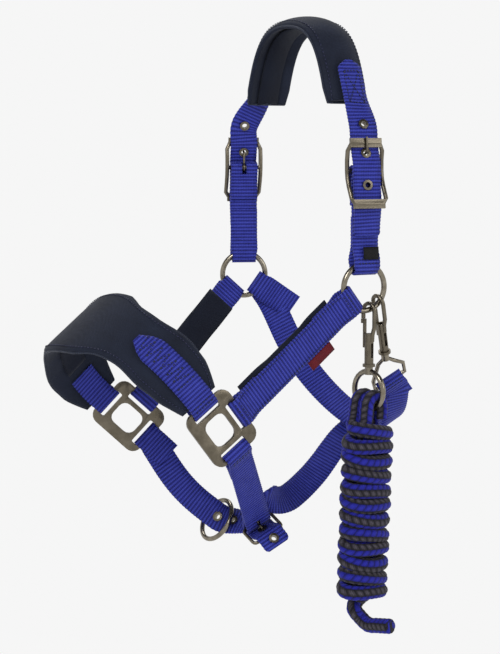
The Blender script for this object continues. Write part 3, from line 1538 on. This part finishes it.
class HEADCOLLAR_OT_straps(bpy.types.Operator):
    """Makes the webbing straps, folded round their rings, bars and buckles"""

    bl_idname = "headcollar.straps"
    bl_label = "Webbing straps"

    def execute(self, context):
        for side in SIDES:
            crown_strap(side)
            cheek_chape(side)
            cheek_strap(side)
            nose_strap(side)
        near_chin_strap()
        far_chin_strap()
        throat_link_strap()
        throat_strap()
        return {"FINISHED"}


class HEADCOLLAR_OT_pads(bpy.types.Operator):
    """Makes the crown and nose pads with their piping, tunnels and linings"""

    bl_idname = "headcollar.pads"
    bl_label = "Pads and linings"

    def execute(self, context):
        crown_pad()
        nose_pad()
        crown_tunnel()
        nose_tunnel()
        for side in SIDES:
            cheek_lining(side)
        return {"FINISHED"}


class HEADCOLLAR_OT_fittings(bpy.types.Operator):
    """Finishes the rings, squares, buckles, eyelets and snap hooks"""

    bl_idname = "headcollar.fittings"
    bl_label = "Metal fittings"

    def execute(self, context):
        wire, cast = material("nickel_plated_wire"), material("gunmetal_plated_zinc")
        for side in SIDES:
            place = placement(side.ring, side.ring_back, UP)
            ring_piece(f"{side.name}_cheek_ring", RING_MEAN_R, RING_WIRE_R, place, wire)
            polished(f"{side.name}_halter_square", cast, bevel=0.0006)
            polished(f"{side.name}_buckle_frame", cast)
            polished(f"{side.name}_buckle_tongue", cast)
        ring_piece("chin_ring", CHIN_RING_MEAN_R, CHIN_RING_WIRE_R, chin_ring_place(), wire)
        for node in sorted(frame["nodes"]):
            if "eyelet" in node or node.endswith(("snap_body", "snap_trigger")):
                polished(node, cast)
        polished("chin_buckle_frame", cast)
        polished("chin_buckle_tongue", cast)
        polished("throat_swivel_eye", wire)
        polished("lead_swivel_ring", wire)
        for node in ("lead_snap_spring", "throat_snap_spring"):
            mesh = frame["nodes"][node].data
            mesh.materials.clear()
            mesh.materials.append(wire)
        return {"FINISHED"}


class HEADCOLLAR_OT_rope(bpy.types.Operator):
    """Makes the plaited lead rope, looped on its ring and wound into a hank"""

    bl_idname = "headcollar.rope"
    bl_label = "Lead rope"

    def execute(self, context):
        lead_rope()
        return {"FINISHED"}


class HEADCOLLAR_OT_tags(bpy.types.Operator):
    """Makes the blank fabric tags"""

    bl_idname = "headcollar.tags"
    bl_label = "Fabric tags"

    def execute(self, context):
        side_label()
        size_label()
        return {"FINISHED"}


class HEADCOLLAR_OT_stitching(bpy.types.Operator):
    """Sews the folds, tips, pad edges and tags"""

    bl_idname = "headcollar.stitching"
    bl_label = "Stitching"

    def execute(self, context):
        def sew(band, lines):
            made = stitches(f"{band}_stitches", band, lines)
            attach(made, BODY_OF[band])

        for side in SIDES:
            name = side.name
            length = BANDS[f"{name}_cheek_strap"][1]
            sew(f"{name}_cheek_strap", bar_tacks(0.060, 0.064, length - 0.046, length - 0.042)
                + [(0.066, v, length - 0.048, v) for v in (-0.0105, 0.0105)])
            length = BANDS[f"{name}_nose_strap"][1]
            sew(f"{name}_nose_strap", zigzag(length - 0.052, length - 0.006, 0.0080, 12)
                + bar_tacks(length - 0.056, length - 0.078, length - 0.082))
            length = BANDS[f"{name}_crown_strap"][1]
            sew(f"{name}_crown_strap", box_stitch(0.010, 0.040))
            sew(f"{name}_cheek_chape", bar_tacks(0.066, 0.070))
        sew("near_chin_strap", bar_tacks(0.046, 0.050))
        sew("far_chin_strap", bar_tacks(0.042, 0.046))
        length = BANDS["throat_strap"][1]
        sew("throat_strap", bar_tacks(0.056, 0.060, length - 0.036, length - 0.040))
        for band, edge in (("crown_pad", 0.0195), ("nose_pad", 0.0)):
            rows, length, _, _ = BANDS[band]
            lines = []
            if edge:
                for v in (-edge, edge):
                    lines += [(length * i / 12, v, length * (i + 1) / 12, v) for i in range(12)]
            else:
                for i in range(24):
                    a, b = rows[i * (len(rows) - 1) // 24], rows[(i + 1) * (len(rows) - 1) // 24]
                    for sign in (-1, 1):
                        lines.append((length * i / 24, sign * (a[2] / 2 - 0.004),
                                      length * (i + 1) / 24, sign * (b[2] / 2 - 0.004)))
            sew(band, lines)
        return {"FINISHED"}


STUDIO_WHITE = "#f6f6f6"
STUDIO_DIM = "#5a5a5c"
FLOOR_R = 14
FLOOR_DROP = 0.55
# Name, place, width and power of each soft light.
LIGHTS = (
    ("key", (0.9, -1.5, 1.1), 0.8, 22),
    ("fill", (1.8, 0.6, 0.5), 1.0, 8),
    ("top", (-0.9, 0.3, 1.4), 0.8, 14),
)
LIGHT_AIM = Vector((0, -0.06, -0.27))


class HEADCOLLAR_OT_stage(bpy.types.Operator):
    """Sets the pale floor, the soft studio light and the camera"""

    bl_idname = "headcollar.stage"
    bl_label = "Studio"

    def execute(self, context):
        scene = context.scene
        low = CAD_BOX[0][2]
        bm = bmesh.new()
        bmesh.ops.create_circle(bm, cap_ends=True, segments=64, radius=FLOOR_R)
        bmesh.ops.translate(bm, vec=(0, 0, low - FLOOR_DROP), verts=bm.verts)
        made, tree = blank("studio_floor")
        # A backlit white acrylic table: it glows evenly, so it shows neither edge nor shadow.
        glow = add(tree, "ShaderNodeEmission", {"Color": linear(STUDIO_WHITE), "Strength": 1.0})
        output = add(tree, "ShaderNodeOutputMaterial")
        tree.links.new(glow.outputs[0], output.inputs["Surface"])
        floor = finished("floor", bm, made)
        world = bpy.data.worlds.new("studio")
        world.use_nodes = True
        tree = world.node_tree
        back = tree.nodes["Background"]
        # The studio is white round the horizon and dim overhead, which models rounds and metal.
        ways = add(tree, "ShaderNodeTexCoord").outputs["Generated"]
        rise = add(tree, "ShaderNodeSeparateXYZ", {"Vector": ways}).outputs["Z"]
        shade = ramp(tree, rise, (0.30, STUDIO_WHITE), (0.62, STUDIO_DIM))
        tree.links.new(shade, back.inputs["Color"])
        scene.world = world
        for name, place, size, power in LIGHTS:
            light = bpy.data.lights.new(name, "AREA")
            light.shape = "DISK"
            light.size = size
            light.energy = power
            lamp = bpy.data.objects.new(name, light)
            scene.collection.objects.link(lamp)
            lamp.location = place
            aim = LIGHT_AIM - lamp.location
            lamp.rotation_mode = "QUATERNION"
            lamp.rotation_quaternion = aim.to_track_quat("-Z", "Y")
        data = bpy.data.cameras.new("camera")
        camera = bpy.data.objects.new("camera", data)
        scene.collection.objects.link(camera)
        data.sensor_fit = "VERTICAL"
        data.angle = math.radians(21.57)
        data.clip_start = 0.01
        camera.location = (1.24442, -0.96773, -0.09473)
        aim = Vector((0, -0.06219, -0.26926)) - camera.location
        camera.rotation_mode = "QUATERNION"
        camera.rotation_quaternion = aim.to_track_quat("-Z", "Y")
        scene.camera = camera
        scene.view_settings.view_transform = "Standard"
        return {"FINISHED"}


class HEADCOLLAR_PT_maker(bpy.types.Panel):
    """Lists the headcollar's sizes, colours and steps"""

    bl_idname = "HEADCOLLAR_PT_maker"
    bl_label = "Headcollar"
    bl_space_type = "VIEW_3D"
    bl_region_type = "UI"
    bl_category = "Headcollar"

    def draw(self, context):
        column = self.layout.column(align=True)
        for group in (context.scene.headcollar_sizes, context.scene.headcollar_colours):
            for name in group.bl_rna.properties.keys():
                if name not in ("rna_type", "name"):
                    column.prop(group, name)
        for step in STEPS:
            column.operator(step.bl_idname)


STEPS = (
    HEADCOLLAR_OT_finishes, HEADCOLLAR_OT_straps, HEADCOLLAR_OT_pads, HEADCOLLAR_OT_fittings,
    HEADCOLLAR_OT_rope, HEADCOLLAR_OT_tags, HEADCOLLAR_OT_stitching, HEADCOLLAR_OT_stage,
)
CLASSES = (HeadcollarSizes, HeadcollarColours, *STEPS, HEADCOLLAR_PT_maker)


def register():
    for made in CLASSES:
        bpy.utils.register_class(made)
    bpy.types.Scene.headcollar_sizes = bpy.props.PointerProperty(type=HeadcollarSizes)
    bpy.types.Scene.headcollar_colours = bpy.props.PointerProperty(type=HeadcollarColours)


def unregister():
    del bpy.types.Scene.headcollar_colours
    del bpy.types.Scene.headcollar_sizes
    for made in reversed(CLASSES):
        bpy.utils.unregister_class(made)


def main():
    register()
    for name in ("stage", "finishes", "rope", "straps", "pads", "fittings", "tags", "stitching"):
        getattr(bpy.ops.headcollar, name)()


if __name__ == "__main__":
    main()
